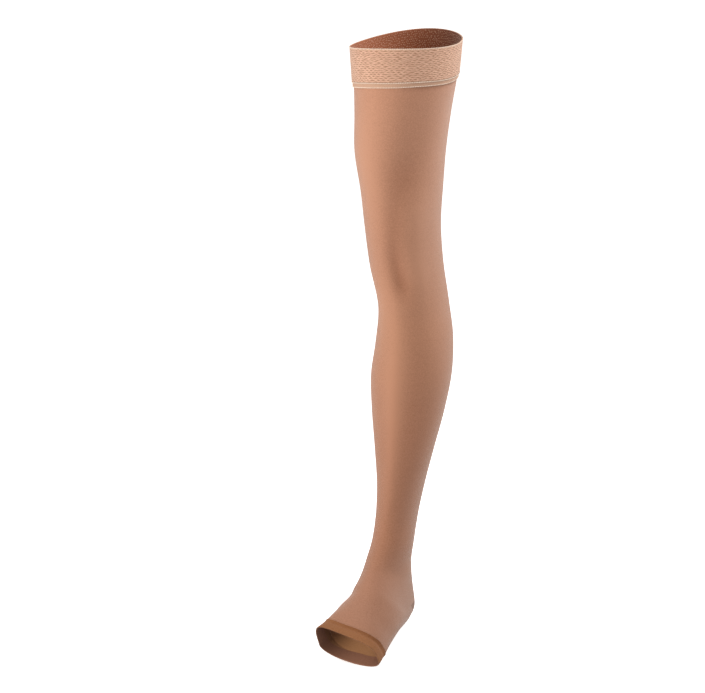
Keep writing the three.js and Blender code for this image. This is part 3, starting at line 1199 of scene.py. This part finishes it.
@dataclass
class ToeHem:
    """The folded ring of knit round the open toe."""

    sides: int = 168
    spacing: float = 0.6
    inner_spacing: float = 1.2
    edge_round: float = 0.6
    lip: float = 0.15
    lip_round: float = 0.2
    fold_depth: float = 2.0
    fold_middle: float = 6.5
    fold_reach: float = 3.5
    fold_degrees: float = -48.0
    fold_spread: float = 56.0
    inner_shortened: float = 0.42
    fold_shadow_middle: float = 3.4
    fold_shadow_reach: float = 2.4
    fold_shadow_strength: float = 1.0
    lit_degrees: float = 80.0
    light_focus: float = 5.0

    def fold(self, station: np.ndarray, angle: np.ndarray) -> np.ndarray:
        """How far the hem's soft fold moves the cloth, in millimetres."""
        from_middle = (station - (FORM.toe - HEM_WIDTH + self.fold_middle)) / self.fold_reach
        return -self.fold_depth * np.exp(-(from_middle ** 2)) * self._beside_fold(angle)

    def fold_shadow(self, station: np.ndarray, angle: np.ndarray) -> np.ndarray:
        """Painted shadow below the seam, where the fold begins, from 0 to its full strength."""
        from_middle = (station - (FORM.toe - HEM_WIDTH + self.fold_shadow_middle)) / self.fold_shadow_reach
        return self.fold_shadow_strength * np.exp(-(from_middle ** 4)) * self._beside_fold(angle)

    def _beside_fold(self, angle: np.ndarray) -> np.ndarray:
        """The fold's share round the foot, from 1 at its middle to 0 away from it."""
        away = (np.degrees(angle) - self.fold_degrees + 180) % 360 - 180
        return np.exp(-((away / self.fold_spread) ** 4))

    def build(self) -> list[bpy.types.Object]:
        """Makes the hem.

        Returns:
            Its one piece, in a list.
        """
        outside, inside = HEM_WALL - KNIT_SOLID_WALL, -KNIT_SOLID_WALL
        top = FORM.toe - HEM_WIDTH
        e = self.edge_round
        outer = [(s, outside) for s in spaced(top, FORM.toe - e, self.spacing)]
        inner = [(s, inside) for s in spaced(FORM.toe - e, top, self.inner_spacing)]
        near_edge = FORM.toe - self.lip
        edge = [
            (near_edge, outside - self.lip_round), (FORM.toe, (outside + inside) / 2),
            (near_edge, inside + self.lip_round),
        ]
        profile = [*outer, *edge, *inner]
        stations = np.array([s for s, _ in profile])
        outwards = np.array([o for _, o in profile])
        angles = np.arange(self.sides) * TURN / self.sides
        s, a = np.meshgrid(stations, angles, indexing="ij")
        is_inner = np.arange(len(profile))[:, None] > len(outer) + 1
        kept = 1 - self.inner_shortened * np.clip(-np.cos(a), 0, 1)
        s = np.where(is_inner, FORM.toe - (FORM.toe - s) * kept, s)
        points = FORM.cloth(s, a, outwards[:, None] + self.fold(s, a)).reshape(-1, 3)
        cloth = ClothMesh()
        cloth.add(points, *loop_quads(stations, self.sides, True))
        ring = np.repeat(np.arange(len(profile)), self.sides)
        behind = ring == len(profile) - 1
        cloth.slots[0] = np.where(ring < len(outer) + 1, 0, np.where(behind, 2, 1))
        piece = carry(
            cloth.build(
                "folded_toe_hem",
                [HEM_KNIT.material(), HEM_INSIDE.material(), KNIT_INSIDE.material()],
                {
                    # painted fold shadow on the hem's outer face
                    "tension": -self.fold_shadow(s, a) * (outwards[:, None] > 0),
                    # painted light: the hem's inside glows most towards the sole
                    "light_through": light_through(a, self.lit_degrees, self.light_focus),
                },
            ),
            "hem", "toe_hem",
        )
        return [piece]


@dataclass
class Studio:
    """The pale floor, the soft lights and the camera."""

    azimuth: float = 22.0
    pitch: float = 16.5
    place: tuple[float, float, float] = (1.161, -2.874, 0.544)
    focal_pixels: float = 2496.0
    image_width: float = 705.0
    image_height: float = 693.0
    principal: tuple[float, float] = (405.5, 346.9)
    sensor: float = 36.0

    def build(self) -> None:
        """Sets the floor, the lights, the surrounding light and the camera."""
        self._floor()
        self._world()
        self._light("left_window", -41.0, -4.0, 2.2, (1.0, 1.7), 34.0)
        self._light("right_window", 124.0, 52.0, 1.5, (0.9, 0.9), 13.0)
        self._light("front_fill", 10.0, 42.0, 3.2, (1.6, 1.2), 11.0)
        self._camera()
        bpy.context.scene.view_settings.view_transform = "Standard"

    def _floor(self) -> None:
        """A wide matte floor just below the sole."""
        half, clearance = 14.0, 0.0005
        corners = np.array([(-half, -half), (half, -half), (half, half), (-half, half)])
        points = np.column_stack([corners, np.full(4, CAD_BOX[0][2] - clearance)]) / MM
        cloth = ClothMesh()
        cloth.add(points, np.array([[0, 1, 2, 3]]), corners)
        floor = cloth.build("studio_floor", [FloorFinish().material()])
        floor.visible_diffuse = False

    def _world(self) -> None:
        """Soft light from all round."""
        world = bpy.data.worlds.new("studio")
        bpy.context.scene.world = world
        world.use_nodes = True
        background = world.node_tree.nodes["Background"]
        background.inputs["Color"].default_value = (1.0, 1.0, 1.0, 1.0)
        background.inputs["Strength"].default_value = 0.5

    def _light(
        self, name: str, azimuth: float, elevation: float, distance: float,
        size: tuple[float, float], power: float,
    ) -> None:
        """A soft window of light that faces the middle of the leg.

        Args:
            name: the light's name.
            azimuth: where it stands round the leg, from the front.
            elevation: how high it stands, in degrees.
            distance: how far from the leg, in metres.
            size: its width and height in metres.
            power: its power in watts.
        """
        lamp = bpy.data.lights.new(name, "AREA")
        lamp.shape = "RECTANGLE"
        lamp.size, lamp.size_y = size
        lamp.energy = power
        around, up = math.radians(azimuth), math.radians(elevation)
        middle = Vector((-0.01, 0.0, -0.35))
        level = math.cos(up)
        away = Vector((math.sin(around) * level, -math.cos(around) * level, math.sin(up)))
        item = bpy.data.objects.new(name, lamp)
        item.visible_camera = False
        item.matrix_world = Matrix.Translation(middle + away * distance) @ (
            away.to_track_quat("Z", "Y").to_matrix().to_4x4()
        )
        bpy.context.scene.collection.objects.link(item)

    def _camera(self) -> None:
        """The camera at the photograph's viewing angle and framing."""
        lens = bpy.data.cameras.new("camera")
        lens.sensor_fit = "HORIZONTAL"
        lens.sensor_width = self.sensor
        lens.lens = self.focal_pixels * self.sensor / self.image_width
        lens.shift_x = (self.image_width / 2 - self.principal[0]) / self.image_width
        lens.shift_y = (self.principal[1] - self.image_height / 2) / self.image_width
        lens.clip_end = 100.0
        camera = bpy.data.objects.new("camera", lens)
        camera.location = self.place
        camera.rotation_euler = (
            math.radians(90 - self.pitch), 0.0, math.radians(self.azimuth)
        )
        bpy.context.scene.collection.objects.link(camera)
        bpy.context.scene.camera = camera


def main() -> None:
    """Builds the stocking piece by piece, then the studio."""
    logging.basicConfig(level=logging.INFO, format="%(name)s %(message)s")
    assemblies: list[Callable[[], Any]] = [
        GripBand().build, KnitTube().build, ToeHem().build, Studio().build
    ]
    for build in assemblies:
        build()


if __name__ == "__main__":
    main()
